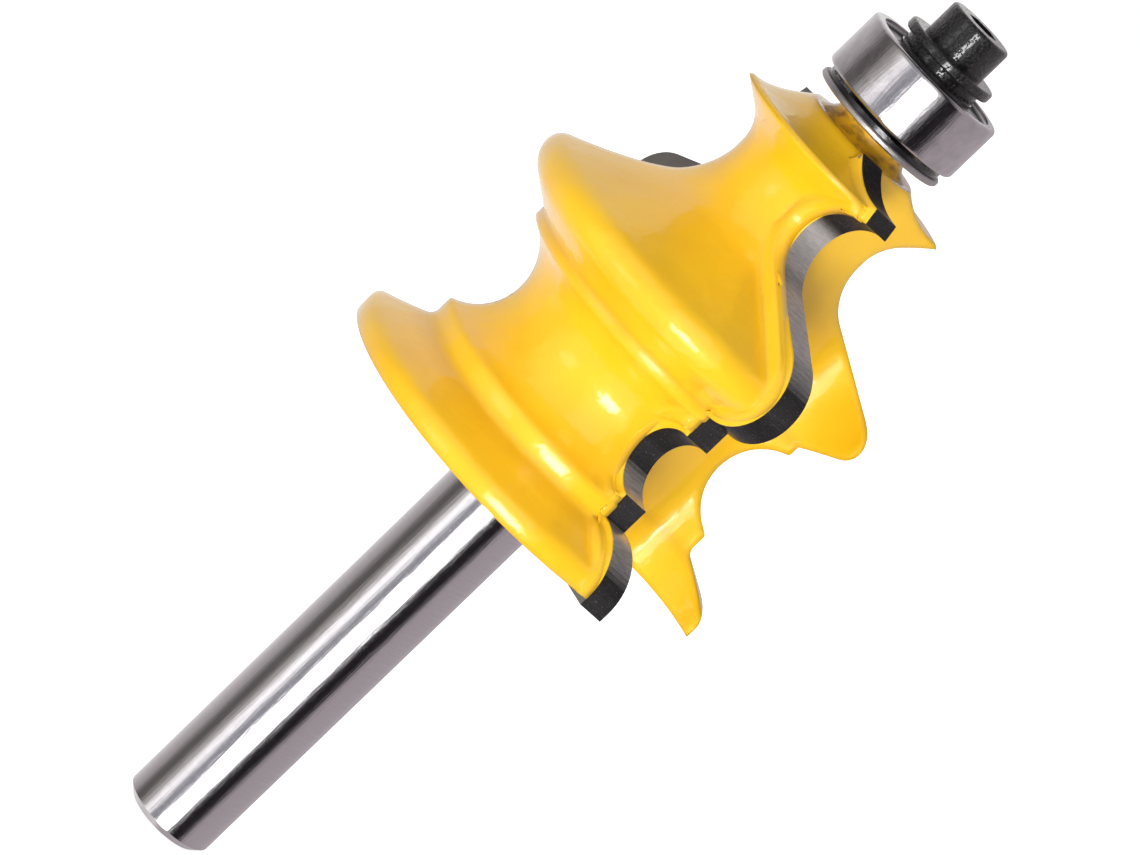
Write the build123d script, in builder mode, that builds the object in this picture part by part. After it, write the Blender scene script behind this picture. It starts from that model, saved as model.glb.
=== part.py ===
from build123d import *

import os
from math import acos, atan2, cos, degrees, hypot, pi, radians, sin, sqrt, tan

# Two-wing profile router bit with brazed carbide tips and a ball-bearing pilot.
# Units are millimetres. Z is the axis of the tool with the cutting end up, and the origin is the centre
# of the shank's end face. Seen from the cutting end the bit turns anticlockwise, towards its rake faces.

# ---------------------------------------------------------------- driving dimensions
# shank
shank_diameter = 8.0
shank_length = 40.05                # end face to the underside of the wings
shank_chamfer = 0.65
shank_root_fillet = 0.4

# cutting profile, drawn on the rake face; reaches are measured along that face
bead_reach = 18.45                  # quarter round at the shank end, the widest part of the cutter
bead_edge = 0.9                     # upright edge below the quarter round
bead_radius = 4.4
step_reach = 13.75                  # both square fillets of the moulding stand at this reach
first_step = 2.28                   # height of the fillet below the cove
second_step = 2.2                   # height of the fillet above the cove
cove_radius = 3.175
cove_centre_out = 0.25              # centre of the cove beyond the fillets
round_radius = 4.2
round_centre_in = 0.45              # centre of the big round behind the fillets
neck_reach = 6.94                   # deepest point of the neck
neck_radius = 3.95
neck_rise = 9.9                     # centre of the neck above the centre of the big round
fin_reach = 10.81                   # pilot-side fin
fin_edge = 1.33
fin_taper = 0.3
hollow_radius = 6.4                 # shallow hollow over the fin
hollow_start = 0.7                  # start of the hollow behind the top of the fin
hollow_rise = 1.68                  # from the top of the fin to the top of the tip

# carbide tips
tip_thickness = 1.8
tip_relief = 1.0                    # how far the back of a tip's outline falls behind its cutting edge
tip_overhang = 0.6                  # tip below the underside of the wings
rake_offset = 2.3                   # rake face behind the tool axis
rake_azimuth = -43.0                # direction of the first rake face, in degrees

# backing land of each tip, which follows the cutting outline
backing_thickness = 1.0
backing_setback = 0.5               # behind the cutting outline
land_setback = 0.3                  # the same at the two square fillets
neck_setback = -0.2                 # and in the neck, where the rake face is far from radial

# steel body, turned to a plainer outline whose depths lie behind those of the cutting outline
top_setback = 0.3                   # top of the wings below the top of the tips
bead_depth = 0.65
body_bead_edge = 1.38               # corner of the bead above the centre of its quarter round
body_bead_corner = 1.27
land_depth = 0.1
body_land_drop = 0.62               # foot of the bead's slope below the first fillet
body_land_root = 1.0
cove_depth = 0.125
body_cove_radius = 4.95
body_cove_lift = 0.3
body_corner = 0.35                  # softened edges of the lands
round_point = 0.96                  # the round's two slopes would meet this far outside the cutting round
round_drop = 0.19                   # and this far below its centre
body_round_corner = 1.95
body_round_foot = 3.75              # foot of the lower slope below the centre of the cutting round
neck_depth = 0.41
body_neck_low = 3.2                 # head of the upper slope below the centre of the neck
body_neck_high = 2.01               # foot of the fin's slope above that centre
body_neck_low_radius = 5.1
body_neck_high_radius = 3.3
fin_depth = 0.66
body_fin_lift = 0.6                 # its edge above the underside of the cutting fin
body_fin_rim = 0.3                  # from its edge to its flat top
wing_count = 2
flute_floor = 4.5                   # flat floor of a flute, from the axis
flute_width = 11.2                  # along the floor, from the rake face to the heel wall
flute_mouth = 14.6                  # the same at the outside, where the heel runs along the rake face
heel_lean = 42.0                    # heel wall opens from the rake face by this angle
heel_root_radius = 4.0
heel_crest_radius = 8.0
boss_diameter = 5.9
boss_height = 1.5                   # above the top of the wings
boss_root_fillet = 0.5
spigot_chamfer = 0.3
drill_point = 0.5                   # depth of a drilled cone as a share of its radius

# pilot bearing, 3/16 by 1/2 inch with two shields
bearing_bore = 4.762
bearing_diameter = 12.7
bearing_width = 4.978
ring_corner = 0.35
ball_diameter = 2.381
ball_count = 7
race_conformity = 0.52              # race radius as a share of the ball's diameter
race_clearance = 0.01
inner_shoulder = 7.3
outer_shoulder = 10.1
cage_inner = 7.7
cage_outer = 9.75
cage_back = 1.5                     # back of the cage above the balls' centres
cage_fingers = 0.5                  # reach of the fingers below the balls' centres
pocket_clearance = 0.06
shield_seat = 11.0
shield_depth = 0.72                 # floor of the shield's seat below the face of the ring
shield_thickness = 0.2
shield_bore = 7.6
shield_clearance = 0.02
wire_diameter = 0.3
wire_groove = 11.3
wire_gap = 24.0                     # opening of each retaining wire, in degrees

# washers, spacer and screw
seat_clearance = 0.01               # bores on the spigot
shield_washer_diameter = 12.1
shield_washer_thickness = 0.5
washer_edge = 0.12
spacer_diameter = 11.4
spacer_flange = 0.4
spacer_hub_diameter = 7.0
spacer_hub = 0.3
flange_diameter = 8.4
flange_thickness = 0.85
flange_edge = 0.22
flange_hub_diameter = 7.1
flange_hub = 0.9
screw_diameter = 3.0
screw_length = 8.0
screw_clearance = 0.1               # flange washer's bore round the screw
thread_clearance = 0.02
screw_tip_chamfer = 0.3
head_diameter = 5.68
head_height = 3.0
head_edge = 0.35
hex_size = 2.5
hex_depth = 1.4
clamp_gap = 0.25                    # spigot's end below the top of the bearing
hole_spare = 1.2                    # tapped hole beyond the screw's tip

# ---------------------------------------------------------------- heights worked out from them
wing_bottom = shank_length
tip_bottom = wing_bottom - tip_overhang
bead_centre = tip_bottom + bead_edge
shoulder = bead_centre + bead_radius
cove_half = sqrt(cove_radius**2 - cove_centre_out**2)
cove_centre = shoulder + first_step + cove_half
round_centre = cove_centre + cove_half + second_step + sqrt(round_radius**2 - round_centre_in**2)
neck_centre = round_centre + neck_rise
fin_bottom = neck_centre + neck_radius
fin_top = fin_bottom + fin_edge
tip_top = fin_top + hollow_rise
wing_top = tip_top - top_setback
boss_top = wing_top + boss_height
spacer_bottom = boss_top + shield_washer_thickness
bearing_bottom = spacer_bottom + spacer_flange + spacer_hub
bearing_centre = bearing_bottom + bearing_width / 2
bearing_top = bearing_bottom + bearing_width
spigot_top = bearing_top - clamp_gap
head_bottom = bearing_top + flange_hub + flange_thickness
screw_tip = head_bottom - screw_length
spigot_radius = bearing_bore / 2 - seat_clearance
pitch_radius = (bearing_bore + bearing_diameter) / 4
ball_radius = ball_diameter / 2

round_reach = step_reach - round_centre_in
neck_centre_reach = neck_reach + neck_radius
hollow_reach = fin_reach - fin_taper - hollow_start
body_bead = bead_reach - bead_depth
body_land = step_reach - land_depth
body_cove = step_reach + cove_centre_out - cove_radius - cove_depth
body_round = round_reach + round_radius + round_point
body_neck = neck_reach - neck_depth
body_fin = fin_reach - fin_depth

os.makedirs("parts", exist_ok=True)


# ---------------------------------------------------------------- profile shared by body and tips
def moulding(plane, inset, land_inset, neck_inset, bottom, top):
    """Half section of the cutting moulding on a plane, set back by the insets."""
    land = step_reach - land_inset
    cove = cove_radius + inset
    cove_reach = step_reach + cove_centre_out
    cove_end = sqrt(cove**2 - (cove_reach - land) ** 2)
    bulge = round_radius - inset
    bulge_end = sqrt(bulge**2 - (land - round_reach) ** 2)
    neck = neck_radius + neck_inset
    fin = fin_reach - inset
    fin_start = neck_centre + sqrt(neck**2 - (neck_centre_reach - fin) ** 2)
    hollow = hollow_radius + inset
    hollow_turn = acos((fin_top + hollow_radius - top) / hollow)
    # the straight slope from the big round to the neck touches both arcs
    span_out = neck_centre_reach - round_reach
    slope_normal = atan2(neck_rise, span_out) - acos((bulge + neck) / hypot(span_out, neck_rise))
    normal = Vector(cos(slope_normal), sin(slope_normal))
    slope_foot = Vector(round_reach, round_centre) + normal * bulge
    slope_head = Vector(neck_centre_reach, neck_centre) - normal * neck
    with BuildSketch(plane) as section:
        with BuildLine():
            Line((0, bottom), (bead_reach - inset, bottom))
            Line((bead_reach - inset, bottom), (bead_reach - inset, bead_centre))
            bead = JernArc((bead_reach - inset, bead_centre), (0, 1), bead_radius - inset, 90)
            Line(bead @ 1, (land, shoulder - inset))
            Line((land, shoulder - inset), (land, cove_centre - cove_end))
            ThreePointArc(
                (land, cove_centre - cove_end),
                (cove_reach - cove, cove_centre),
                (land, cove_centre + cove_end),
            )
            Line((land, cove_centre + cove_end), (land, round_centre - bulge_end))
            ThreePointArc((land, round_centre - bulge_end), (round_reach + bulge, round_centre), slope_foot)
            Line(slope_foot, slope_head)
            ThreePointArc(slope_head, (neck_centre_reach - neck, neck_centre), (fin, fin_start))
            Line((fin, fin_start), (fin - fin_taper, fin_top - inset))
            Line((fin - fin_taper, fin_top - inset), (hollow_reach, fin_top - inset))
            rise = JernArc((hollow_reach, fin_top - inset), (-1, 0), hollow, -degrees(hollow_turn))
            Line(rise @ 1, (0, top))
            Line((0, top), (0, bottom))
        make_face()
    return section.sketch


def turned_outline():
    """Half section of the body as it is turned, smaller and plainer than the cutting moulding."""
    bead_corner = (body_bead, bead_centre + body_bead_edge)
    bead_foot = (body_land, shoulder - body_land_drop)
    cove = Vector(body_cove + body_cove_radius, cove_centre + body_cove_lift)
    cove_end = sqrt(body_cove_radius**2 - (cove.X - body_land) ** 2)
    cove_low = (body_land, cove.Y - cove_end)
    cove_high = (body_land, cove.Y + cove_end)
    round_foot = (body_land, round_centre - body_round_foot)
    round_corner = (body_round, round_centre - round_drop)
    neck_low = (body_neck, neck_centre - body_neck_low)
    neck_high = (body_neck, neck_centre + body_neck_high)
    fin_edge_height = fin_bottom + body_fin_lift
    fin_flat = fin_top - backing_setback
    hollow = hollow_radius + backing_setback
    hollow_turn = acos((fin_top + hollow_radius - wing_top) / hollow)
    with BuildSketch(Plane.XZ) as section:
        with BuildLine():
            Polyline((0, wing_bottom), (body_bead, wing_bottom), bead_corner, bead_foot, cove_low)
            ThreePointArc(cove_low, (body_cove, cove.Y), cove_high)
            Polyline(cove_high, round_foot, round_corner, neck_low, neck_high, (body_fin, fin_edge_height))
            Line((body_fin, fin_edge_height), (body_fin - body_fin_rim, fin_flat))
            Line((body_fin - body_fin_rim, fin_flat), (hollow_reach, fin_flat))
            rise = JernArc((hollow_reach, fin_flat), (-1, 0), hollow, -degrees(hollow_turn))
            Polyline(rise @ 1, (0, wing_top), (0, wing_bottom))
        make_face()
        corners = (
            (bead_corner, body_bead_corner),
            (bead_foot, body_land_root),
            (cove_low, body_corner),
            (cove_high, body_corner),
            (round_corner, body_round_corner),
            (neck_low, body_neck_low_radius),
            (neck_high, body_neck_high_radius),
        )
        for corner, radius in corners:
            fillet(vertices().sort_by_distance(corner)[0], radius)
    return section.sketch


def save(piece, name):
    """Label a finished piece and write its STEP file."""
    piece.label = name
    export_step(piece, f"parts/{name}.step")


def circle_at(height, candidates):
    """Smallest full circle among these edges at a height, which is the root of a round step."""
    circles = candidates.filter_by(GeomType.CIRCLE).filter_by(lambda edge: edge.is_closed)
    return circles.filter_by_position(Axis.Z, height, height).sort_by(SortBy.RADIUS)[0]


def rake_direction(turn):
    """Outward direction along the rake face of the wing that is turned by so many degrees."""
    azimuth = radians(rake_azimuth + turn)
    return Vector(cos(azimuth), sin(azimuth), 0)


def cutting_direction(turn):
    """Direction in which that wing's rake face looks, which is the way it travels."""
    return Vector(0, 0, 1).cross(rake_direction(turn))


# ---------------------------------------------------------------- carbide tips
def make_tip(turn):
    """Ground carbide plate: the moulding's outline swept back and inwards, so its edge has clearance."""
    outward = rake_direction(turn)
    forward = cutting_direction(turn)
    rake_face = Plane(origin=forward * -rake_offset, x_dir=outward, z_dir=-forward)
    sweep_back = forward * -tip_thickness - outward * tip_relief
    outline = moulding(rake_face, 0, 0, 0, tip_bottom, tip_top)
    with BuildPart() as tip:
        extrude(outline, amount=sweep_back.length, dir=sweep_back.normalized())
        split(bisect_by=Plane(origin=outward * flute_floor, z_dir=outward), keep=Keep.TOP)
    return tip.part


for wing in range(wing_count):
    save(make_tip(wing * 360 / wing_count), f"carbide_tip_{wing + 1}")

# ---------------------------------------------------------------- steel body
backing_outline = moulding(Plane.XZ, backing_setback, land_setback, neck_setback, wing_bottom, wing_top)
turned_section = turned_outline()
seat = -rake_offset - tip_thickness

with BuildPart() as backing_lands:
    # one land behind each tip, in height steps with the tip's own outline
    revolve(backing_outline, axis=Axis.Z)
    with BuildSketch(Plane.XY.offset(wing_bottom)):
        for wing in range(wing_count):
            along = Plane(origin=(0, 0, 0), x_dir=rake_direction(wing * 360 / wing_count))
            with Locations(along):
                with Locations((flute_floor + bead_reach / 2, seat - backing_thickness / 2)):
                    Rectangle(bead_reach, backing_thickness)
    extrude(amount=wing_top - wing_bottom, mode=Mode.INTERSECT)

with BuildPart() as cutter_body:
    # turned wings with the backing lands
    revolve(turned_section, axis=Axis.Z)
    add(backing_lands.part)
    # milled flutes: a seat for the tip, a flat floor and a leaning heel wall with a round root
    for wing in range(wing_count):
        turn = wing * 360 / wing_count
        flute_plane = Plane(origin=(0, 0, wing_bottom), x_dir=rake_direction(turn), z_dir=(0, 0, 1))
        heel_foot = flute_width - rake_offset
        heel_crest = flute_mouth - rake_offset
        crest_reach = flute_floor + (heel_crest - heel_foot) / tan(radians(heel_lean))
        outside = 2 * bead_reach
        with BuildSketch(flute_plane):
            with BuildLine():
                Polyline(
                    (flute_floor, seat),
                    (outside, seat),
                    (outside, heel_crest),
                    (crest_reach, heel_crest),
                    (flute_floor, heel_foot),
                    close=True,
                )
            make_face()
            fillet(vertices().sort_by(Axis.X)[:2].sort_by(Axis.Y)[-1], heel_root_radius)
            fillet(vertices().group_by(Axis.Y)[-1].sort_by(Axis.X)[0], heel_crest_radius)
        extrude(amount=tip_top - wing_bottom, mode=Mode.SUBTRACT)
    # ground shank
    with BuildSketch(Plane.XY):
        Circle(shank_diameter / 2)
    extrude(amount=shank_length)
    chamfer(faces().sort_by(Axis.Z)[0].edges(), shank_chamfer)
    fillet(circle_at(wing_bottom, edges()), shank_root_fillet)
    # boss and spigot for the pilot
    with BuildSketch(Plane.XY.offset(wing_top)):
        Circle(boss_diameter / 2)
    extrude(amount=boss_height)
    fillet(circle_at(wing_top, edges()), boss_root_fillet)
    with BuildSketch(Plane.XY.offset(boss_top)):
        Circle(spigot_radius)
    extrude(amount=spigot_top - boss_top)
    chamfer(faces().sort_by(Axis.Z)[-1].edges(), spigot_chamfer)
    # tapped hole for the pilot screw
    with BuildSketch(Plane.XZ):
        with BuildLine():
            drill = screw_diameter / 2 + thread_clearance
            Polyline(
                (0, spigot_top),
                (drill, spigot_top),
                (drill, screw_tip - hole_spare),
                (0, screw_tip - hole_spare - drill * drill_point),
                close=True,
            )
        make_face()
    revolve(axis=Axis.Z, mode=Mode.SUBTRACT)

save(cutter_body.part, "cutter_body")


# ---------------------------------------------------------------- washers under and over the bearing
with BuildPart() as shield_washer:
    with BuildSketch(Plane.XY.offset(boss_top)):
        Circle(shield_washer_diameter / 2)
        Circle(spigot_radius + seat_clearance, mode=Mode.SUBTRACT)
    extrude(amount=shield_washer_thickness)
    chamfer(edges().filter_by(GeomType.CIRCLE).group_by(SortBy.RADIUS)[-1], washer_edge)

save(shield_washer.part, "shield_washer")

with BuildPart() as stepped_spacer:
    with BuildSketch(Plane.XY.offset(spacer_bottom)):
        Circle(spacer_diameter / 2)
    extrude(amount=spacer_flange)
    with BuildSketch(Plane.XY.offset(spacer_bottom + spacer_flange)):
        Circle(spacer_hub_diameter / 2)
    extrude(amount=spacer_hub)
    with BuildSketch(Plane.XY.offset(spacer_bottom)):
        Circle(spigot_radius + seat_clearance)
    extrude(amount=spacer_flange + spacer_hub, mode=Mode.SUBTRACT)

save(stepped_spacer.part, "stepped_spacer")

with BuildPart() as flange_washer:
    with BuildSketch(Plane.XY.offset(bearing_top)):
        Circle(flange_hub_diameter / 2)
    extrude(amount=flange_hub)
    with BuildSketch(Plane.XY.offset(bearing_top + flange_hub)):
        Circle(flange_diameter / 2)
    extrude(amount=flange_thickness)
    fillet(edges().filter_by(GeomType.CIRCLE).group_by(SortBy.RADIUS)[-1], flange_edge)
    with BuildSketch(Plane.XY.offset(bearing_top)):
        Circle(screw_diameter / 2 + screw_clearance)
    extrude(amount=flange_hub + flange_thickness, mode=Mode.SUBTRACT)

save(flange_washer.part, "flange_washer")


# ---------------------------------------------------------------- pilot bearing
def bearing_face(side):
    """Height of a face of the bearing above or below its centre."""
    return bearing_centre + side * bearing_width / 2


race_radius = ball_diameter * race_conformity
inner_race = pitch_radius - ball_radius - race_clearance + race_radius
outer_race = pitch_radius + ball_radius + race_clearance - race_radius

with BuildPart() as bearing_inner_ring:
    with BuildSketch(Plane.XY.offset(bearing_bottom)):
        Circle(inner_shoulder / 2)
        Circle(bearing_bore / 2, mode=Mode.SUBTRACT)
    extrude(amount=bearing_width)
    with BuildSketch(Plane.XZ):
        with Locations((inner_race, bearing_centre)):
            Circle(race_radius)
    revolve(axis=Axis.Z, mode=Mode.SUBTRACT)

save(bearing_inner_ring.part, "bearing_inner_ring")

with BuildPart() as bearing_outer_ring:
    with BuildSketch(Plane.XY.offset(bearing_bottom)):
        Circle(bearing_diameter / 2)
        Circle(outer_shoulder / 2, mode=Mode.SUBTRACT)
    extrude(amount=bearing_width)
    fillet(edges().filter_by(GeomType.CIRCLE).group_by(SortBy.RADIUS)[-1], ring_corner)
    with BuildSketch(Plane.XZ):
        with Locations((outer_race, bearing_centre)):
            Circle(race_radius)
        for side in (-1, 1):
            # seat of a shield, with the groove of its retaining wire
            seat_middle = bearing_face(side) - side * shield_depth / 2
            wire_middle = bearing_face(side) - side * (shield_depth - shield_thickness - wire_diameter / 2)
            with Locations((shield_seat / 4, seat_middle)):
                Rectangle(shield_seat / 2, shield_depth)
            with Locations((wire_groove / 4, wire_middle)):
                Rectangle(wire_groove / 2, wire_diameter)
    revolve(axis=Axis.Z, mode=Mode.SUBTRACT)

save(bearing_outer_ring.part, "bearing_outer_ring")

for ball in range(ball_count):
    angle = 2 * pi * ball / ball_count
    with BuildPart() as bearing_ball:
        with Locations((pitch_radius * cos(angle), pitch_radius * sin(angle), bearing_centre)):
            Sphere(ball_radius)
    save(bearing_ball.part, f"bearing_ball_{ball + 1}")

with BuildPart() as bearing_cage:
    # crown cage: a ring beside the balls, with fingers that reach past them
    with BuildSketch(Plane.XY.offset(bearing_centre - cage_fingers)):
        Circle(cage_outer / 2)
        Circle(cage_inner / 2, mode=Mode.SUBTRACT)
    extrude(amount=cage_back + cage_fingers)
    with Locations(Plane.XY.offset(bearing_centre)):
        with PolarLocations(pitch_radius, ball_count):
            Sphere(ball_radius + pocket_clearance, mode=Mode.SUBTRACT)

save(bearing_cage.part, "bearing_cage")

for side, place in ((-1, "lower"), (1, "upper")):
    seat_floor = bearing_face(side) - side * shield_depth
    shield_outside = seat_floor + side * shield_thickness
    with BuildPart() as bearing_shield:
        with BuildSketch(Plane.XY.offset(min(seat_floor, shield_outside))):
            Circle(shield_seat / 2 - shield_clearance)
            Circle(shield_bore / 2, mode=Mode.SUBTRACT)
        extrude(amount=shield_thickness)
    save(bearing_shield.part, f"bearing_shield_{place}")
    wire_reach = (wire_groove - wire_diameter) / 2 - shield_clearance
    wire_middle = shield_outside + side * wire_diameter / 2
    with BuildPart() as shield_wire:
        with BuildSketch(Plane.XZ):
            with Locations((wire_reach, wire_middle)):
                Circle(wire_diameter / 2)
        revolve(axis=Axis.Z, revolution_arc=360 - wire_gap)
    save(shield_wire.part, f"shield_wire_{place}")


# ---------------------------------------------------------------- pilot screw
with BuildPart() as pilot_screw:
    with BuildSketch(Plane.XY.offset(head_bottom)):
        Circle(head_diameter / 2)
    extrude(amount=head_height)
    fillet(edges().sort_by(Axis.Z)[-1], head_edge)
    with BuildSketch(Plane.XY.offset(screw_tip)):
        Circle(screw_diameter / 2)
    extrude(amount=screw_length)
    chamfer(faces().sort_by(Axis.Z)[0].edges(), screw_tip_chamfer)
    # hexagon socket with a drilled cone at its bottom
    socket_floor = head_bottom + head_height - hex_depth
    with BuildSketch(Plane.XY.offset(socket_floor)):
        RegularPolygon(radius=hex_size / 2, side_count=6, major_radius=False)
    extrude(amount=hex_depth, mode=Mode.SUBTRACT)
    below = (Align.CENTER, Align.CENTER, Align.MAX)
    with Locations((0, 0, socket_floor)):
        Cone(0, hex_size / 2, hex_size / 2 * drill_point, align=below, mode=Mode.SUBTRACT)

save(pilot_screw.part, "pilot_screw")
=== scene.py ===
# %% [markdown]
# # A profile router bit, finished from its solids
# The bit is a turned steel body with two wings, two ground carbide tips brazed into it, and a small
# ball bearing on top that rolls along a template. The solids come from the CAD model with every piece
# at its real size, so this lesson is about surfaces: thick yellow enamel, ground carbide, bearing steel
# and oiled black oxide, and about the soft light that shows them.

# %% load the solids
import math

import bmesh
import bpy
from mathutils import Matrix, Vector
from mathutils.bvhtree import BVHTree


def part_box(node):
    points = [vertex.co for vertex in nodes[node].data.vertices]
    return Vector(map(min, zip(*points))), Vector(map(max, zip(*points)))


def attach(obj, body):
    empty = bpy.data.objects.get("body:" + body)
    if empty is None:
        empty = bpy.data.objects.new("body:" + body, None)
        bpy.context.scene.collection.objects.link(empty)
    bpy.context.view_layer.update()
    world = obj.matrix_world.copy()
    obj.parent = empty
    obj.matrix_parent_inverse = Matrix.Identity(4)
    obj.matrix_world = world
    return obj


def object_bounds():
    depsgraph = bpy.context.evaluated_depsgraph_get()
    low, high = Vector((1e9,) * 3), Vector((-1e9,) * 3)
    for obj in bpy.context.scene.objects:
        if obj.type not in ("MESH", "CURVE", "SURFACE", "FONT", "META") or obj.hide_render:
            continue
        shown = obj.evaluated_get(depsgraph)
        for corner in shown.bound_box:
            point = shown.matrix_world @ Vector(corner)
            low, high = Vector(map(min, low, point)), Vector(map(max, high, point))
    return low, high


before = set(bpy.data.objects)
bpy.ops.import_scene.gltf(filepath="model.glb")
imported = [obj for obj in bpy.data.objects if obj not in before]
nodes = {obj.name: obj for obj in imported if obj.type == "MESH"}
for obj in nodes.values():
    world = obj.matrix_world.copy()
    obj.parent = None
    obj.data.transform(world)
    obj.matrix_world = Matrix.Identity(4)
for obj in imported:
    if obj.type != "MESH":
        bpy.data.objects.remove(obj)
cad_low, cad_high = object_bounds()
print("pieces:", len(nodes), "height in mm:", round((cad_high.z - cad_low.z) * 1000, 2))

# %% [markdown]
# ## Levels on the tool
# A finish starts and ends at an edge of the metal. Reading those edges from the pieces themselves keeps
# the enamel on the wings when the tool changes size. The levels are in millimetres, because the
# scratches and drips of a small tool are fractions of one. Meshes are made in metres.

# %% read the levels
MM = 0.001
TIP_FACING = (0.682, 0.731, 0.0)    # direction that is square to the flat faces of both tips
tip_low, tip_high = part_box("carbide_tip_1")
boss_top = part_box("shield_washer")[0].z / MM
wing_top = tip_high.z / MM - 0.3    # a tip stands a little over its wing at the top
wing_bottom = tip_low.z / MM + 0.6  # and hangs under it at the bottom
bead_fold = wing_bottom + 3.8       # fold heights of the moulding, where painted shade darkens the enamel
round_fold = wing_bottom + 15.9
neck_height = wing_top - 7.6        # narrowest place of the wings
fin_foot = wing_top - 5.2           # under the thin fin at the top of the wings
print("wings from", round(wing_bottom, 2), "to", round(wing_top, 2), "mm, boss to", round(boss_top, 2))

# %% [markdown]
# ## A way to write node trees
# Each finish is a small network of nodes. Written out one call at a time such a network is long and
# hard to read, so these classes keep the calls short: they make a node, set the values that are numbers
# and link the ones that are outputs of other nodes. A mask is a number from 0 to 1 that says where
# something holds, so masks are multiplied to keep what they share, and taken from 1 to turn them round.


# %% node tree helpers
class Nodes:
    """A node tree of a material or a world that is being built."""

    def __init__(self, owner):
        owner.use_nodes = True
        self.tree = owner.node_tree
        self.tree.nodes.clear()

    def add(self, kind, settings=None, **inputs):
        node = self.tree.nodes.new(kind)
        for name, value in (settings or {}).items():
            setattr(node, name, value)
        for name, value in inputs.items():
            self.feed(node.inputs[name.replace("_", " ")], value)
        return node

    def feed(self, socket, value):
        if isinstance(value, bpy.types.NodeSocket):
            self.tree.links.new(value, socket)
        else:
            socket.default_value = value

    def feed_all(self, node, values):
        """Fill the first inputs of a node in their order."""
        for socket, value in zip(node.inputs, values):
            self.feed(socket, value)
        return node

    def math(self, operation, *values, clamp=False):
        node = self.add("ShaderNodeMath", {"operation": operation, "use_clamp": clamp})
        return self.feed_all(node, values).outputs[0]

    def vector(self, operation, *values, output="Vector", **named):
        node = self.add("ShaderNodeVectorMath", {"operation": operation}, **named)
        return self.feed_all(node, values).outputs[output]

    def between(self, value, low, high, rise="LINEAR"):
        """0 below low, 1 above high, and a rise from one to the other."""
        settings = {"clamp": True, "interpolation_type": rise}
        return self.add("ShaderNodeMapRange", settings, Value=value, From_Min=low, From_Max=high).outputs[0]

    def tint(self, share, first, second, mode="MIX"):
        """Mix of two colours."""
        node = self.add("ShaderNodeMix", {"data_type": "RGBA", "blend_type": mode}, Factor=share)
        self.feed(node.inputs[6], first)
        self.feed(node.inputs[7], second)
        return node.outputs[2]


class Finish(Nodes):
    """A material, with the noises, masks and reliefs that finishes share."""

    def __init__(self, name):
        self.material = bpy.data.materials.new(name)
        super().__init__(self.material)
        place = self.add("ShaderNodeTexCoord").outputs["Object"]
        self.mm = self.vector("SCALE", place, Scale=1 / MM)
        self.x, self.y, self.z = self.add("ShaderNodeSeparateXYZ", Vector=self.mm).outputs
        flat = self.add("ShaderNodeCombineXYZ", X=self.x, Y=self.y).outputs[0]
        self.radius = self.vector("LENGTH", flat, output="Value")

    def stretch(self, x=1.0, y=1.0, z=1.0):
        """Position in mm with each axis scaled, so that a texture on it runs along the others."""
        return self.vector("MULTIPLY", self.mm, (x, y, z))

    def noise(self, scale, detail=2.0, at=None, roughness=0.5):
        """Cloudy noise from 0 to 1, with so many blobs to the millimetre."""
        settings = {"Scale": scale, "Detail": detail, "Roughness": roughness}
        return self.add("ShaderNodeTexNoise", Vector=self.mm if at is None else at, **settings).outputs[0]

    def inverse(self, mask):
        return self.math("SUBTRACT", 1.0, mask)

    def shared(self, mask, *others):
        """1 where all of the masks are 1."""
        for other in others:
            mask = self.math("MULTIPLY", mask, other)
        return mask

    def size(self, value):
        """The value without its sign."""
        return self.math("ABSOLUTE", value)

    def near_height(self, height, full, none):
        """1 within the first distance from a height, and 0 from the second on."""
        return self.inverse(self.between(self.size(self.math("SUBTRACT", self.z, height)), full, none))

    def blend(self, share, first, second):
        """Mix of two numbers."""
        return self.math("ADD", first, self.math("MULTIPLY", share, self.math("SUBTRACT", second, first)))

    def bumps(self, height, depth, normal=None):
        """Surface relief, where a height of 1 stands so many millimetres proud."""
        node = self.add("ShaderNodeBump", Height=height, Distance=depth * MM)
        if normal is not None:
            self.feed(node.inputs["Normal"], normal)
        return node.outputs[0]

    def facing(self, direction):
        """How far the surface faces a direction or its opposite: 1 straight on, 0 side on."""
        normal = self.add("ShaderNodeNewGeometry").outputs["True Normal"]
        return self.size(self.vector("DOT_PRODUCT", normal, direction, output="Value"))

    def surface(self, **inputs):
        shader = self.add("ShaderNodeBsdfPrincipled", **inputs)
        self.add("ShaderNodeOutputMaterial", Surface=shader.outputs[0])
        return self.material


def dress(finish, *names):
    """Give a finish to CAD pieces by their names."""
    for name in names:
        nodes[name].data.materials.clear()
        nodes[name].data.materials.append(finish)
    print(finish.name, "on", len(names), "pieces")
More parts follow.
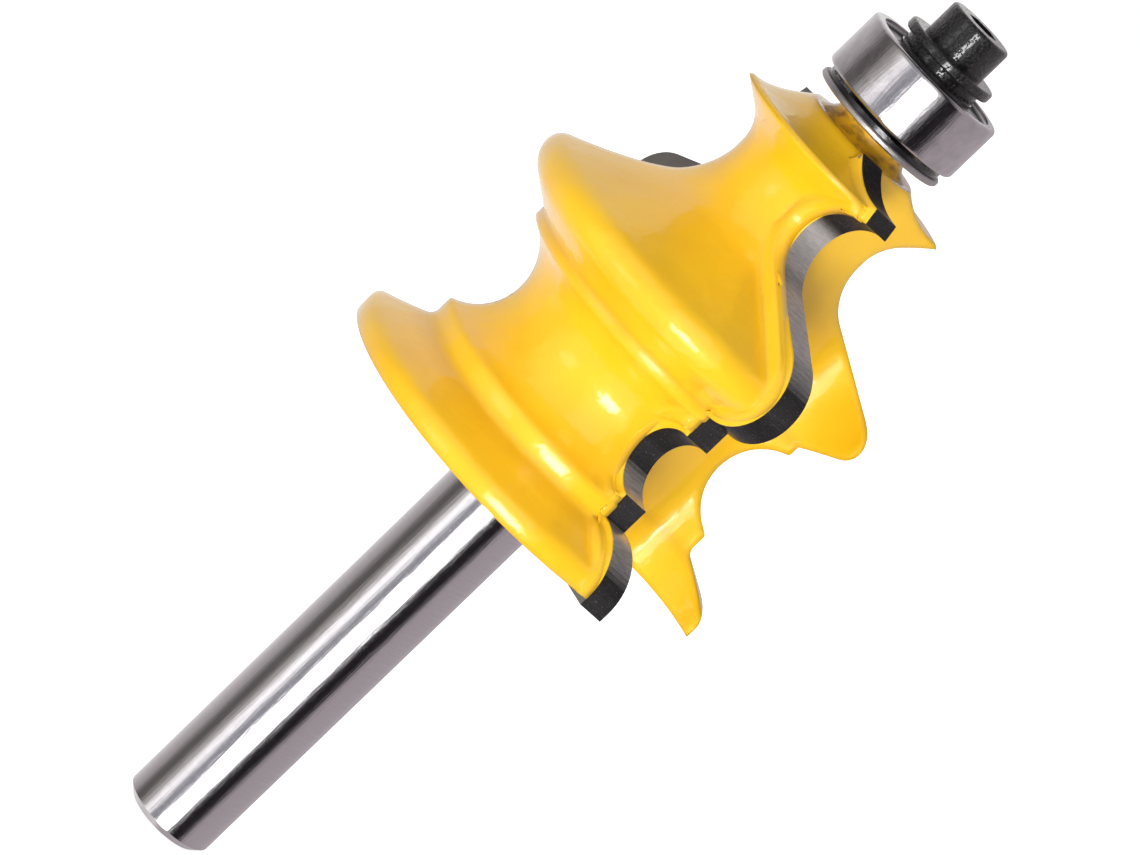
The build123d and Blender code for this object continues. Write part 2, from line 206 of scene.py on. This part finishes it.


# %% [markdown]
# ## Enamelled body
# The body is one bar of steel. Its shank is ground to fit a collet and stays bare. The wings are
# dipped in a heavy coat of yellow enamel, which rounds every edge and carries a slow wave from running
# before it set; each fold is painted darker as shade. Two materials on different faces would end the paint at
# an edge of the
# mesh. One material with masks ends it where the dipping did: a mask depends on height and on distance
# from the axis, with a little noise so that the line of the paint is not drawn with a ruler.

# %% masks of the body
body = Finish("enamelled_steel_body")
wander = body.math("MULTIPLY", body.math("SUBTRACT", body.noise(1.6, 3.0), 0.5), 0.5)
uneven_radius = body.math("ADD", body.radius, wander)
uneven_height = body.math("ADD", body.z, wander)
wide_of_shank = body.between(uneven_radius, 4.3, 4.4)
above_shank = body.between(body.z, wing_bottom + 0.3, wing_bottom + 0.5)
past_shank = body.math("MAXIMUM", wide_of_shank, above_shank)
on_boss = body.between(uneven_height, wing_top + 0.1, wing_top + 0.4)
above_boss = body.between(body.z, boss_top - 0.02, boss_top + 0.02)
ledge = body.shared(
    body.between(body.z, wing_top - 0.12, wing_top - 0.04),
    body.inverse(body.between(uneven_radius, 4.9, 5.1)),
    body.between(body.size(body.x), 3.2, 3.7),
)
worn_ledge = body.shared(ledge, body.between(body.noise(0.45, 2.0), 0.52, 0.57))
painted = body.math("SUBTRACT", past_shank, body.math("MAXIMUM", above_boss, worn_ledge), clamp=True)
print("enamel from", round(wing_bottom + 0.3, 2), "to", round(boss_top, 2), "mm")

# %% [markdown]
# Enamel is not one colour. A slow noise moves it between two yellows, deeper where the coat lies heavy
# and paler where it thins over a crest, and each fold of the moulding is painted deep amber as shade.
# The film also softens sharp edges. That could be
# modelled with bevels on the mesh, but the solids keep their machined edges, so the Bevel node turns
# only the shading normal round. One glossy surface would have one highlight. A rough base under a
# sharp clear coat has the two of real enamel: a wide soft one and a small crisp one in it.


# %% enamel
ENAMEL_ROUGHNESS = 0.42
ENAMEL_IOR = 1.52


def enamel_colour(paint):
    """Yellow enamel, deeper where the coat lies heavy, with a few specks of dirt."""
    slow = paint.between(paint.noise(0.12, 2.0), 0.35, 0.65)
    yellow = paint.tint(slow, (0.90, 0.495, 0.006, 1), (0.95, 0.555, 0.011, 1))
    specks = paint.between(paint.noise(2.2, 4.0), 0.70, 0.76)
    return paint.tint(paint.math("MULTIPLY", specks, 0.25), yellow, (0.55, 0.33, 0.03, 1))


def enamel_relief(paint, film_radius):
    """Slow waves of a poured film that rounds the edges under it, by a radius in mm."""
    film = paint.add("ShaderNodeBevel", {"samples": 8}, Radius=film_radius * MM).outputs[0]
    waves = paint.bumps(paint.noise(0.40, 2.0), 0.11, normal=film)
    return paint.bumps(paint.noise(2.4, 2.0), 0.014, normal=waves)


# Painted shade: a band at each fold of the moulding is mixed toward deep amber, as the shade that falls in the
# crease.
fold_shade = body.math("MAXIMUM", body.near_height(bead_fold, 0.0, 0.8), body.near_height(round_fold, 0.0, 0.7))
fold_shaded_enamel = body.tint(body.math("MULTIPLY", fold_shade, 0.45), enamel_colour(body), (0.72, 0.35, 0.004, 1))
smears = body.between(body.noise(0.9, 3.0), 0.40, 0.62)
smeared = body.tint(smears, (0.62, 0.33, 0.012, 1), (0.24, 0.115, 0.014, 1))
coat = body.tint(on_boss, fold_shaded_enamel, smeared)
enamel_waves = enamel_relief(body, 1.0)
print("enamel gathers at", round(bead_fold, 2), "and", round(round_fold, 2), "mm")

# %% [markdown]
# The shank has fine rings from the grinding wheel. An image of them would need a seam somewhere, so they
# are noise that changes quickly along the tool and slowly around it. The flat wall at the heel of each
# wing took a thinner coat, and a mask holds its gloss down. It takes the faces that look the wall's
# way, and of those only the ones beside the axis.

# %% ground steel, and the finish of the body
HEEL_FACING = (0.35, 0.937, 0.0)    # direction that is square to both heel walls
rings = body.noise(1.0, 3.0, at=body.stretch(0.35, 0.35, 14.0))
drag = body.noise(1.0, 4.0, at=body.stretch(7.0, 7.0, 0.35))
steel = body.tint(rings, (0.56, 0.535, 0.55, 1), (0.70, 0.675, 0.69, 1))
wheel_marks = body.bumps(rings, 0.0012)
wheel_marks = body.bumps(drag, 0.011, normal=wheel_marks)
wheel_marks = body.bumps(body.noise(13.0, 3.0), 0.0060, normal=wheel_marks)
beside = body.math("MULTIPLY", body.math("SIGN", body.x), body.y)
heel_wall = body.shared(
    body.between(body.facing(HEEL_FACING), 0.86, 0.92),
    body.between(beside, -1.5, -1.0),
    body.inverse(body.between(beside, 4.6, 5.2)),
    body.between(body.size(body.x), 5.0, 5.5),
)
gloss = body.shared(painted, body.inverse(body.math("MULTIPLY", heel_wall, 0.8)))
face = body.add("ShaderNodeMix", {"data_type": "VECTOR"}, Factor=painted)
body.feed(face.inputs[4], wheel_marks)
body.feed(face.inputs[5], enamel_waves)
enamel = body.surface(
    Base_Color=body.tint(painted, steel, coat),
    Metallic=body.inverse(painted),
    Roughness=body.blend(painted, body.blend(rings, 0.09, 0.17), ENAMEL_ROUGHNESS),
    IOR=ENAMEL_IOR,
    Coat_Weight=gloss,
    Coat_Roughness=0.05,
    Normal=face.outputs[1],
    Coat_Normal=enamel_waves,
)
dress(enamel, "cutter_body")

# %% [markdown]
# ## Lip and pool
# Enamel also fills corners that the machined metal leaves, behind the tips and round the boss. A mask
# can't do this, because it changes the outline, so these places are pieces of their own. They share the
# enamel's colour and waves, on a film that hardly rounds them, because they are round already.


# %% added pieces of enamel
def plain_enamel(name, colour=enamel_colour):
    """Enamel for an added piece, which has no bare steel."""
    paint = Finish(name)
    return paint.surface(
        Base_Color=colour(paint),
        Roughness=ENAMEL_ROUGHNESS,
        IOR=ENAMEL_IOR,
        Coat_Weight=1.0,
        Coat_Roughness=0.07,
        Normal=enamel_relief(paint, 0.2),
    )


def add_piece(name, mesh, finish):
    """An object with this mesh and finish. The mesh is used up."""
    bmesh.ops.recalc_face_normals(mesh, faces=mesh.faces)
    data = bpy.data.meshes.new(name)
    mesh.to_mesh(data)
    mesh.free()
    data.materials.append(finish)
    piece = bpy.data.objects.new(name, data)
    bpy.context.scene.collection.objects.link(piece)
    return piece


# %% [markdown]
# Behind each tip the enamel makes a smooth lip, from the edge of the tip down to the body. It follows
# the outline of the tip's back face. Typed in as numbers, that outline would be wrong as soon as the
# tip changed, so it is read from the tip's own mesh: with all other faces taken away, the edges that
# are left free are the outline.


# %% outline of a tip's back face
SAME_WAY = 0.99         # cosine of the angle within which a face looks backward
TOUCHING = 0.002 * MM   # points this close are one point
MARGIN = 0.02 * MM      # edges this close to the inner or lower end of the face are left out


def back_outline(name, backward):
    """Points along the outer edge of a tip's back face, in order."""
    mesh = bmesh.new()
    mesh.from_mesh(nodes[name].data)
    others = [face for face in mesh.faces if face.normal.dot(backward) < SAME_WAY]
    bmesh.ops.delete(mesh, geom=others, context="FACES")
    bmesh.ops.remove_doubles(mesh, verts=mesh.verts, dist=TOUCHING)
    outward = Vector((backward.y, -backward.x, 0))
    if mesh.verts[:][0].co.dot(outward) < 0:
        outward.negate()
    inner = min(vert.co.dot(outward) for vert in mesh.verts) + MARGIN
    lower = min(vert.co.z for vert in mesh.verts) + MARGIN

    def shows(edge):
        middle = (edge.verts[0].co + edge.verts[1].co) / 2
        return edge.is_boundary and middle.dot(outward) > inner and middle.z > lower

    rim = {edge for edge in mesh.edges if shows(edge)}
    here = next(vert for vert in mesh.verts if len(rim.intersection(vert.link_edges)) == 1)
    points = [here.co.copy()]
    while rim.intersection(here.link_edges):
        edge = rim.intersection(here.link_edges).pop()
        rim.remove(edge)
        here = edge.other_vert(here)
        points.append(here.co.copy())
    mesh.free()
    for point in points:
        point.z = max(point.z, wing_bottom * MM)
    return points


def closely_spaced(points, spacing):
    """The same outline with points no further apart than the spacing."""
    rows = []
    for before, after in zip(points, points[1:]):
        steps = max(1, math.ceil((after - before).length / spacing))
        rows += [before.lerp(after, i / steps) for i in range(steps)]
    return rows + [points[-1]]


OUTLINES = {}
for tip, way in (("carbide_tip_1", -1), ("carbide_tip_2", 1)):
    backward = way * Vector(TIP_FACING).normalized()
    OUTLINES[tip] = closely_spaced(back_outline(tip, backward), 0.4 * MM), backward
    print(tip, "has an outline of", len(OUTLINES[tip][0]), "points")

# %% [markdown]
# A bevelled curve along the outline would be the quick way to a lip, but it looks like a cord that is
# laid on the edge. So each point of the outline gets a cross-section of its own. It starts just inside
# the tip, falls in a curve to the nearest point of the body, so that it meets the body without a
# crease, and comes back underneath, where it isn't seen. The sections are joined into one closed skin.


# %% lip behind each tip
LIP_REACH = 0.7 * MM    # how far behind the tip the lip has run out
LIP_START = 0.05 * MM   # how far inside the tip it starts
LIP_TAIL = 0.08 * MM    # how far it goes on where it has sunk into the body
LIP_OVER = 0.01 * MM    # how far it stands over the tip's outline and the body
LIP_UNDER = 0.12 * MM   # how far its hidden side lies under them
LIP_STEPS = 8


def lip_section(point, backward, drop):
    """Cross-section of the lip where the body lies at this drop from the outline."""
    over = -drop.normalized()
    section = [
        point - backward * 2 * LIP_START - over * LIP_UNDER,
        point - backward * LIP_START + over * LIP_OVER,
    ]
    for step in range(LIP_STEPS + 1):
        along = step / LIP_STEPS
        fallen = 1 - (1 - along) ** 2
        section.append(point + backward * LIP_REACH * along + drop * fallen + over * LIP_OVER)
    section.append(section[-1] + backward * LIP_TAIL - over * LIP_UNDER)
    section.append(point + backward * LIP_REACH / 2 + drop - over * LIP_UNDER)
    return section


def skin(sections):
    """Closed mesh through cross-sections with equal numbers of points."""
    mesh = bmesh.new()
    loops = [[mesh.verts.new(place) for place in section] for section in sections]
    for loop, following in zip(loops, loops[1:]):
        for i in range(len(loop)):
            j = (i + 1) % len(loop)
            mesh.faces.new((loop[i], loop[j], following[j], following[i])).smooth = True
    mesh.faces.new(loops[0])
    mesh.faces.new(loops[-1])
    return mesh


body_surface = BVHTree.FromObject(nodes["cutter_body"], bpy.context.evaluated_depsgraph_get())
lip_finish = plain_enamel("enamel_lip")
for tip, (points, backward) in OUTLINES.items():
    ends = [point + backward * LIP_REACH for point in points]
    drops = [body_surface.find_nearest(end)[0] - end for end in ends]
    sections = []
    for i, point in enumerate(points):
        nearby = drops[max(0, i - 1):i + 2]
        sections.append(lip_section(point, backward, sum(nearby, Vector()) / len(nearby)))
    lip = add_piece(tip + "_lip", skin(sections), lip_finish)
    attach(lip, "cutter")
    print(lip.name, "drops up to", round(max(drop.length for drop in drops) / MM, 2), "mm")

# %% [markdown]
# The enamel that gathered round the boss set as a soft cone. The boss is round, so a few points of a
# profile that is spun about the axis are enough. The bearing's oil has turned it brown in places.

# %% pool round the boss
# radius, and height over the top of the wings, in mm
POOL = [
    (2.9, 1.46), (3.3, 1.40), (3.32, 1.1), (3.42, 0.75),
    (3.68, 0.40), (4.05, 0.16), (4.42, 0.02), (4.42, -0.2),
]
POOL_STEPS = 96


def smeared_colour(paint):
    """Enamel that is mixed with brown oil from the bearing."""
    smear = paint.between(paint.noise(0.8, 4.0, at=paint.stretch(1.0, 1.0, 2.2)), 0.44, 0.66)
    return paint.tint(smear, (0.84, 0.45, 0.008, 1), (0.30, 0.135, 0.012, 1))


mesh = bmesh.new()
ring = [mesh.verts.new((radius * MM, 0, (wing_top + rise) * MM)) for radius, rise in POOL]
edges = [mesh.edges.new(pair) for pair in zip(ring, ring[1:])]
bmesh.ops.spin(
    mesh, geom=ring + edges, cent=(0, 0, 0), axis=(0, 0, 1), angle=2 * math.pi, steps=POOL_STEPS, use_merge=True
)
for face in mesh.faces:
    face.smooth = True
pool = add_piece("boss_pool", mesh, plain_enamel("smeared_enamel", smeared_colour))
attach(pool, "cutter")
print("pool of", len(pool.data.polygons), "faces")

# %% [markdown]
# ## Ground carbide tips
# Sintered tungsten carbide is dark grey and takes a satin finish from a diamond wheel. The wheel leaves
# fine lines across the edge, and a few small bright specks are painted glints. Painting the lines on would need
# the tips unwrapped.
# Noise needs no unwrapping: squeezed along one direction it turns into lines, and here that is the
# direction around the tool, which the wheel followed. The edge's colour is painted pale where it faces up
# and in the neck, as a painted reflection, and dark elsewhere, as painted shade. The flat faces are an
# even grey.

# %% carbide
carbide = Finish("ground_carbide")
normal = carbide.add("ShaderNodeNewGeometry").outputs["True Normal"]
# Painted reflection and shade: below the fin, the edge is paler where it faces up and in the neck, and darker
# elsewhere.
faces_up = carbide.between(carbide.add("ShaderNodeSeparateXYZ", Vector=normal).outputs[2], 0.38, 0.80)
in_neck = carbide.near_height(neck_height, 1.6, 3.2)
below_fin = carbide.inverse(carbide.between(carbide.z, fin_foot - 0.4, fin_foot + 0.4))
pale = carbide.shared(carbide.math("MAXIMUM", faces_up, in_neck), below_fin)
on_flat = carbide.between(carbide.facing(TIP_FACING), 0.90, 0.96)
lines = carbide.noise(1.0, 3.0, at=carbide.stretch(1.2, 1.2, 11.0))
cloud = carbide.noise(0.35, 2.0)
# Painted glints: small bright spots in the colour, stronger where the reflection is painted.
glint_spots = carbide.between(carbide.noise(11.0, 1.0), 0.66, 0.72)
shaded_edge_grey = carbide.tint(lines, (0.018, 0.017, 0.018, 1), (0.060, 0.056, 0.058, 1))
painted_reflection_grey = carbide.tint(lines, (0.26, 0.24, 0.23, 1), (0.78, 0.73, 0.71, 1))
flat_grey = carbide.tint(cloud, (0.27, 0.25, 0.24, 1), (0.40, 0.375, 0.36, 1))
shade = carbide.tint(on_flat, carbide.tint(pale, shaded_edge_grey, painted_reflection_grey), flat_grey)
painted_glints = carbide.math("MULTIPLY", glint_spots, carbide.blend(pale, 0.15, 0.7))
ground = carbide.bumps(lines, 0.004)
tips = carbide.surface(
    Base_Color=carbide.tint(painted_glints, shade, (0.75, 0.73, 0.74, 1)),
    Metallic=0.75,
    Roughness=carbide.blend(cloud, 0.26, 0.40),
    Normal=carbide.bumps(carbide.noise(8.0, 2.0), 0.002, normal=ground),
)
dress(tips, "carbide_tip_1", "carbide_tip_2")

# %% [markdown]
# ## Bearing steel
# Rings and balls are hardened chromium steel, ground and polished, with a breath of oil. A steel
# mirror has no colour of its own beyond a faint warm grey, so its looks come from what it reflects and
# from the very fine turning lines that pull each reflection along. An anisotropic shader would pull
# them too, but evenly. Relief in fine lines, scuffs and pits also breaks them up a little.


# %% bearing steel and plain washers
def turned_steel(name, colour, roughness, line_depth, rings_per_mm):
    """Metal turned about the axis of the tool."""
    metal = Finish(name)
    turning = metal.noise(1.0, 2.0, at=metal.stretch(0.3, 0.3, rings_per_mm))
    scuffs = metal.noise(1.0, 4.0, at=metal.stretch(5.5, 5.5, 0.6))
    pits = metal.noise(8.0, 4.0, roughness=0.7)
    stains = metal.between(metal.noise(0.8, 3.0), 0.35, 0.7)
    relief = metal.bumps(turning, line_depth)
    relief = metal.bumps(scuffs, line_depth * 4, normal=relief)
    dull = tuple(channel * 0.82 for channel in colour)
    return metal.surface(
        Base_Color=metal.tint(stains, (*colour, 1), (*dull, 1)),
        Metallic=1.0,
        Roughness=metal.blend(turning, roughness * 0.8, roughness * 1.3),
        Normal=metal.bumps(pits, line_depth * 3, normal=relief),
    )


rings_and_balls = ["bearing_outer_ring", "bearing_inner_ring"]
rings_and_balls += [name for name in nodes if name.startswith("bearing_ball_")]
# finish, colour, roughness, depth of its lines in mm, lines to the mm, and the pieces that wear it
STEELS = [
    ("bearing_steel", (0.64, 0.61, 0.63), 0.11, 0.003, 12.0, rings_and_balls),
    ("shield_steel", (0.55, 0.55, 0.55), 0.28, 0.002, 3.0, ["bearing_shield_lower", "bearing_shield_upper"]),
    ("washer_steel", (0.56, 0.54, 0.55), 0.42, 0.004, 8.0, ["shield_washer"]),
    ("cage_steel", (0.50, 0.48, 0.44), 0.30, 0.003, 3.0, ["bearing_cage"]),
    ("spring_wire", (0.40, 0.40, 0.41), 0.22, 0.001, 6.0, ["shield_wire_lower", "shield_wire_upper"]),
]
for *looks, wearers in STEELS:
    dress(turned_steel(*looks), *wearers)

# %% [markdown]
# ## Oiled black oxide
# The screw, its stepped washer and the spacer are blackened and come out of the packet wet with oil.
# Oil gathers in beads, which are far too small to model one by one. So the roughness and the relief
# both follow the same blotchy noise: smooth and bright where a bead sits, duller between beads.


# %% black oxide
def oiled_black(name, level, bead_depth):
    """Blackened steel with beads of oil."""
    black = Finish(name)
    beads = black.between(black.noise(4.6, 3.0), 0.50, 0.62)
    film = black.noise(0.7, 2.0)
    relief = black.bumps(beads, bead_depth)
    deep = (level, level * 0.96, level * 1.04, 1)
    dusty = (level * 2.2, level * 2.0, level * 2.1, 1)
    return black.surface(
        Base_Color=black.tint(film, deep, dusty),
        Metallic=0.2,
        Roughness=black.blend(beads, 0.50, 0.30),
        Specular_IOR_Level=0.15,
        Coat_Weight=1.0,
        Coat_Roughness=0.08,
        Normal=relief,
        Coat_Normal=relief,
    )


dress(oiled_black("black_oxide", 0.006, 0.030), "pilot_screw", "flange_washer")
dress(oiled_black("blackened_spacer", 0.008, 0.004), "stepped_spacer")

# %% [markdown]
# ## Floor
# The bit stands on a pale floor. A white floor that is lit like the tool would only be light grey, so
# for the camera it gives off the missing part itself and keeps the tool's shadow.

# %% floor
bpy.ops.mesh.primitive_plane_add(size=6.0, location=(0, 0, cad_low.z - 0.1 * MM))
floor = bpy.context.object
floor.name = "floor"
floor.visible_glossy = False
floor.visible_shadow = False
pale_floor = bpy.data.materials.new("pale_floor")
paper = Nodes(pale_floor)
matte = paper.add("ShaderNodeBsdfDiffuse", Color=(0.8, 0.8, 0.8, 1)).outputs[0]
own_light = paper.add("ShaderNodeEmission", Strength=0.75).outputs[0]
lit = paper.feed_all(paper.add("ShaderNodeAddShader"), (matte, own_light)).outputs[0]
for_camera = paper.add("ShaderNodeLightPath").outputs["Is Camera Ray"]
choice = paper.feed_all(paper.add("ShaderNodeMixShader"), (for_camera, matte, lit))
paper.add("ShaderNodeOutputMaterial", Surface=choice.outputs[0])
floor.data.materials.append(pale_floor)
print("floor at", round(floor.location.z / MM, 2), "mm")

# %% [markdown]
# ## Surroundings
# Metal and gloss show their surroundings more than themselves. A studio could be built of white and
# black cards, but it is easier to draw what a reflection finds in the world, where each edge is moved by
# changing one angle: bands of grey around the tool, with a dark stretch on each side, a dark ceiling, and
# two soft ovals of strong light, which make the highlights. The camera sees plain white, and the light
# that the world gives to matte colour is one even grey.

# %% world
# degrees to the right of the front of the tool, and the grey that a reflection finds there
STUDIO = [
    (-180, (0.95, 0.93, 0.92)), (-150, (0.80, 0.77, 0.77)), (-104, (0.46, 0.43, 0.44)),
    (-92, (0.17, 0.16, 0.16)), (-72, (0.13, 0.125, 0.12)), (-62, (0.52, 0.50, 0.48)),
    (-42, (0.62, 0.61, 0.60)), (-30, (0.42, 0.43, 0.46)), (-12, (0.36, 0.37, 0.41)),
    (-3, (1.0, 1.0, 1.0)), (25, (1.0, 1.0, 1.0)), (32, (0.02, 0.017, 0.02)),
    (61, (0.016, 0.014, 0.016)), (68, (0.48, 0.43, 0.46)), (180, (0.54, 0.50, 0.52)),
]
CEILING = (0.05, 0.05, 0.05, 1)
EVEN_GREY = (0.34, 0.34, 0.345, 1)
WHITE = (1.0, 1.0, 1.0, 1)
GLOW_CORE = 0.45    # share of a glow's area that has its full strength

world = bpy.data.worlds.new("studio")
bpy.context.scene.world = world
studio = Nodes(world)
looking = studio.add("ShaderNodeTexCoord").outputs["Generated"]
to_x, to_y, to_z = studio.add("ShaderNodeSeparateXYZ", Vector=looking).outputs
right = studio.math("DEGREES", studio.math("ARCTAN2", to_x, studio.math("MULTIPLY", to_y, -1.0)))
above = studio.math("DEGREES", studio.math("ARCSINE", to_z))


def glow(centre, height, wide, tall, radiance):
    """Soft oval light in the surroundings, centred and sized in degrees."""
    off_right = studio.math("DIVIDE", studio.math("SUBTRACT", right, centre), wide / 2)
    off_above = studio.math("DIVIDE", studio.math("SUBTRACT", above, height), tall / 2)
    far = studio.math("ADD", studio.math("POWER", off_right, 2.0), studio.math("POWER", off_above, 2.0))
    within = studio.between(studio.math("MULTIPLY", far, -1.0), -1.0, -GLOW_CORE, rise="SMOOTHSTEP")
    return studio.math("MULTIPLY", within, radiance)


bands = studio.add("ShaderNodeValToRGB", Fac=studio.math("ADD", studio.math("DIVIDE", right, 360.0), 0.5))
ramp = bands.color_ramp
while len(ramp.elements) < len(STUDIO):
    ramp.elements.new(0.5)
for element, (degree, grey) in zip(ramp.elements, STUDIO):
    element.position = degree / 360 + 0.5
    element.color = (*grey, 1)
room = studio.tint(studio.between(above, 57.0, 61.0, rise="SMOOTHSTEP"), bands.outputs[0], CEILING)
glows = studio.math("ADD", glow(8, -13, 26, 22, 15.0), glow(-40, -13, 24, 22, 1.2))
glare = studio.feed_all(studio.add("ShaderNodeCombineColor"), (glows, glows, glows)).outputs[0]
reflection = studio.tint(1.0, room, glare, mode="ADD")
ray = studio.add("ShaderNodeLightPath").outputs
reflected = studio.math("MAXIMUM", ray["Is Glossy Ray"], ray["Is Transmission Ray"])
seen = studio.tint(reflected, EVEN_GREY, reflection)
sky = studio.add("ShaderNodeBackground", Color=studio.tint(ray["Is Camera Ray"], seen, WHITE))
studio.add("ShaderNodeOutputWorld", Surface=sky.outputs[0])
print("world with", len(STUDIO), "bands")

# %% [markdown]
# ## Lamps
# Soft boxes are flat rectangles of light. Here they light the matte colour under the gloss and leave
# the highlights to the world's glows, so no reflection shows a lamp. Each is placed by the direction in
# which the tool sees it: degrees to the right of its front, degrees above its waist, and how wide and
# tall it looks from there. Two stand in front, two large weak ones behind, so that the far side isn't
# left in the dark, and one above.


# %% soft boxes
WAIST = Vector((0, 0, 50 * MM))
LAMP_DISTANCE = 700 * MM


def soft_box(name, right, up, wide, tall, radiance):
    """Rectangular lamp seen from the tool in this direction and this large, all in degrees."""
    turn, rise = math.radians(right), math.radians(up)
    away = Vector((math.sin(turn) * math.cos(rise), -math.cos(turn) * math.cos(rise), math.sin(rise)))
    light = bpy.data.lights.new(name, "AREA")
    light.shape = "RECTANGLE"
    light.size = 2 * LAMP_DISTANCE * math.tan(math.radians(wide / 2))
    light.size_y = 2 * LAMP_DISTANCE * math.tan(math.radians(tall / 2))
    light.energy = radiance * math.pi * light.size * light.size_y
    lamp = bpy.data.objects.new(name, light)
    lamp.location = WAIST + away * LAMP_DISTANCE
    lamp.rotation_mode = "QUATERNION"
    lamp.rotation_quaternion = away.to_track_quat("Z", "Y")
    lamp.visible_glossy = False
    bpy.context.scene.collection.objects.link(lamp)


soft_box("front_box", 9, -14, 20, 26, 17.0)
soft_box("left_box", -40, -12, 20, 24, 5.0)
soft_box("back_box_left", -140, 40, 60, 40, 0.9)
soft_box("back_box_right", 140, 40, 60, 40, 0.9)
soft_box("top_box", -12, 42, 50, 40, 1.0)

# %% [markdown]
# ## Camera
# The tool is seen from its front, a little from above its pilot end. To lay the tool across the frame,
# the camera is rolled and the tool stays upright, so that it keeps its place in the shared frame. A
# short lens close by would make the near end too large, and a long one keeps the proportions.

# %% camera
CAMERA_PLACE = (0.000072, -0.390835, 0.130135)
TILT, ROLL = math.radians(12.30), math.radians(44.0)
FOCAL_LENGTH, FILM_WIDTH = 165.75, 36.0

forward = Vector((0, math.cos(TILT), -math.sin(TILT)))
level, upright = Vector((1, 0, 0)), Vector((0, math.sin(TILT), math.cos(TILT)))
across = level * math.sin(ROLL) + upright * math.cos(ROLL)
up = -level * math.cos(ROLL) + upright * math.sin(ROLL)
lens = bpy.data.cameras.new("camera")
lens.lens, lens.sensor_width = FOCAL_LENGTH, FILM_WIDTH
lens.clip_start, lens.clip_end = 0.01, 20.0
camera = bpy.data.objects.new("camera", lens)
bpy.context.scene.collection.objects.link(camera)
axes = Matrix((across, up, -forward)).transposed().to_4x4()
camera.matrix_world = Matrix.Translation(CAMERA_PLACE) @ axes
bpy.context.scene.camera = camera
bpy.context.scene.view_settings.view_transform = "Standard"
print("camera", round(camera.location.length / MM), "mm from the tool's foot")
